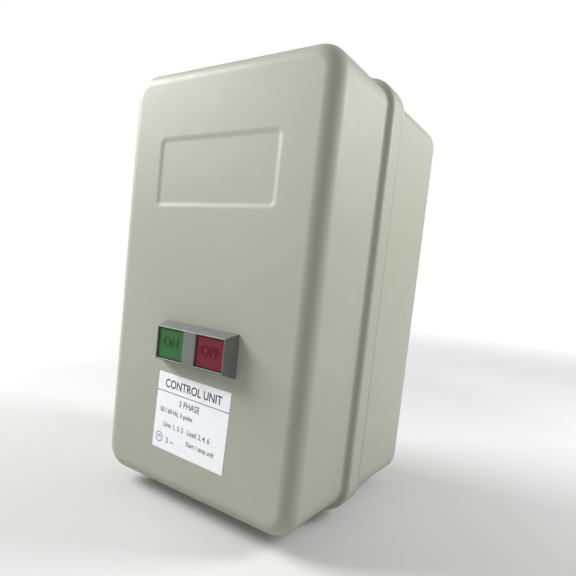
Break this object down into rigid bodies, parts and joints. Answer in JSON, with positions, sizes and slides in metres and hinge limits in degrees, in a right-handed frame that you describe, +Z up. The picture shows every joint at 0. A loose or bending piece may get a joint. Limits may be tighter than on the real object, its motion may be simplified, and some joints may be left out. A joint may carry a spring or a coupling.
{
  "type": "magnetic motor starter",
  "caption": "Wall-mounted motor starter: pressed steel box with hinged cover, on and off push buttons, and a contactor, overload relay and start switch inside.",
  "frame": {"origin": "centre of the four wall holes, on the outside of the rear wall", "axes": "+Z up along the height, -Y out of the front cover away from the wall, +X to the right seen from the front"},
  "size_m": [0.168, 0.163, 0.2887],
  "materials": {
    "enclosure_paint": "satin",
    "zinc_plate": "satin",
    "spring_steel": "satin",
    "brass": "satin",
    "copper": "satin",
    "core_steel": "satin",
    "black_plastic": "matte",
    "cream_plastic": "matte",
    "brown_plastic": "matte",
    "grey_plastic": "satin",
    "green_plastic": "satin",
    "red_plastic": "satin",
    "blue_plastic": "satin",
    "black_rubber": "matte",
    "white_label": "satin",
    "wire_insulation": "satin"
  },
  "bodies": {
    "enclosure": {"rear_box": "enclosure_paint", "cover_seal": "black_rubber", "gland_plate": "zinc_plate", "gland_plate_screws": "zinc_plate", "cable_grommets": "black_rubber", "hinge_brackets": "enclosure_paint", "hinge_pins": "zinc_plate", "cover_screw_nut": "zinc_plate", "mounting_plate": "zinc_plate", "plate_spacers": "zinc_plate", "mounting_screws": "zinc_plate", "earth_terminal": "brass", "contactor_base": "black_plastic", "contactor_body": "cream_plastic", "fixed_core": "core_steel", "core_cushion": "black_rubber", "shading_rings": "copper", "coil_bobbin": "cream_plastic", "coil_winding": "copper", "coil_terminals": "brass", "carrier_return_springs": "spring_steel", "line_contacts": "brass", "load_contacts": "brass", "main_terminal_screws": "zinc_plate", "arc_plates": "zinc_plate", "aux_block": "cream_plastic", "aux_contacts": "brass", "relay_housing": "black_plastic", "relay_front": "black_plastic", "relay_link_bars": "copper", "bimetal_strips": "core_steel", "heater_windings": "copper", "relay_terminals": "brass", "relay_terminal_screws": "zinc_plate", "reset_spring": "spring_steel", "start_switch_bracket": "zinc_plate", "start_switch_body": "black_plastic", "start_plunger_spring": "spring_steel", "start_switch_terminals": "brass", "control_wires": "wire_insulation"},
    "cover": {"front_cover": "enclosure_paint", "cover_hinge_hooks": "enclosure_paint", "rating_label": "white_label", "button_bezel": "grey_plastic", "bezel_clamp": "zinc_plate", "bezel_clamp_screw": "zinc_plate", "on_button_spring": "spring_steel", "off_button_spring": "spring_steel"},
    "on_button": {"on_button": "green_plastic"},
    "off_button": {"off_button": "red_plastic"},
    "cover_screw": {"cover_screw": "zinc_plate"},
    "contact_carrier": {"moving_core": "core_steel", "contact_carrier": "brown_plastic", "moving_contacts": "copper", "contact_springs": "spring_steel"},
    "trip_slide": {"trip_slide": "cream_plastic"},
    "trip_rocker": {"trip_rocker": "cream_plastic"},
    "reset_plunger": {"reset_plunger": "blue_plastic"},
    "setting_dial": {"setting_dial": "cream_plastic"},
    "start_plunger": {"start_plunger": "cream_plastic"}
  },
  "joints": [
    {"name": "cover_hinge", "type": "hinge", "parent": "enclosure", "child": "cover", "pos_m": [0, -0.0805, 0.1425], "axis": [-1, 0, 0], "range_deg": [0, 90]},
    {"name": "cover_screw_turn", "type": "hinge", "parent": "enclosure", "child": "cover_screw", "pos_m": [0, -0.0836, -0.139], "axis": [0, 0, -1], "continuous": true},
    {"name": "on_button_press", "type": "slide", "parent": "cover", "child": "on_button", "axis": [0, 1, 0], "range_m": [0, 0.0035], "stiffness_N_per_m": 300, "deforming": ["on_button_spring"]},
    {"name": "off_button_press", "type": "slide", "parent": "cover", "child": "off_button", "axis": [0, 1, 0], "range_m": [0, 0.0035], "stiffness_N_per_m": 300, "deforming": ["off_button_spring"]},
    {"name": "start_plunger_slide", "type": "slide", "parent": "enclosure", "child": "start_plunger", "axis": [0, 1, 0], "range_m": [0, 0.0035], "stiffness_N_per_m": 200, "deforming": ["start_plunger_spring"]},
    {"name": "reset_plunger_slide", "type": "slide", "parent": "enclosure", "child": "reset_plunger", "axis": [0, 1, 0], "range_m": [0, 0.0035], "stiffness_N_per_m": 200, "deforming": ["reset_spring"]},
    {"name": "carrier_slide", "type": "slide", "parent": "enclosure", "child": "contact_carrier", "axis": [0, 1, 0], "range_m": [0, 0.0054], "stiffness_N_per_m": 1500, "deforming": ["carrier_return_springs"]},
    {"name": "trip_slide_move", "type": "slide", "parent": "enclosure", "child": "trip_slide", "axis": [1, 0, 0], "range_m": [0, 0.002], "stiffness_N_per_m": 300},
    {"name": "trip_rocker_turn", "type": "hinge", "parent": "enclosure", "child": "trip_rocker", "pos_m": [0.032, -0.045, -0.042], "axis": [0, -1, 0], "range_deg": [0, 12.5]},
    {"name": "setting_dial_turn", "type": "hinge", "parent": "enclosure", "child": "setting_dial", "pos_m": [-0.02, -0.09, -0.015], "axis": [0, -1, 0], "range_deg": [-135, 135]}
  ],
  "couplings": [
    {"joint": "start_plunger_slide", "follows": "on_button_press", "ratio": 1},
    {"joint": "reset_plunger_slide", "follows": "off_button_press", "ratio": 1},
    {"joint": "trip_rocker_turn", "follows": "trip_slide_move", "rad_per_m": 105.26}
  ]
}
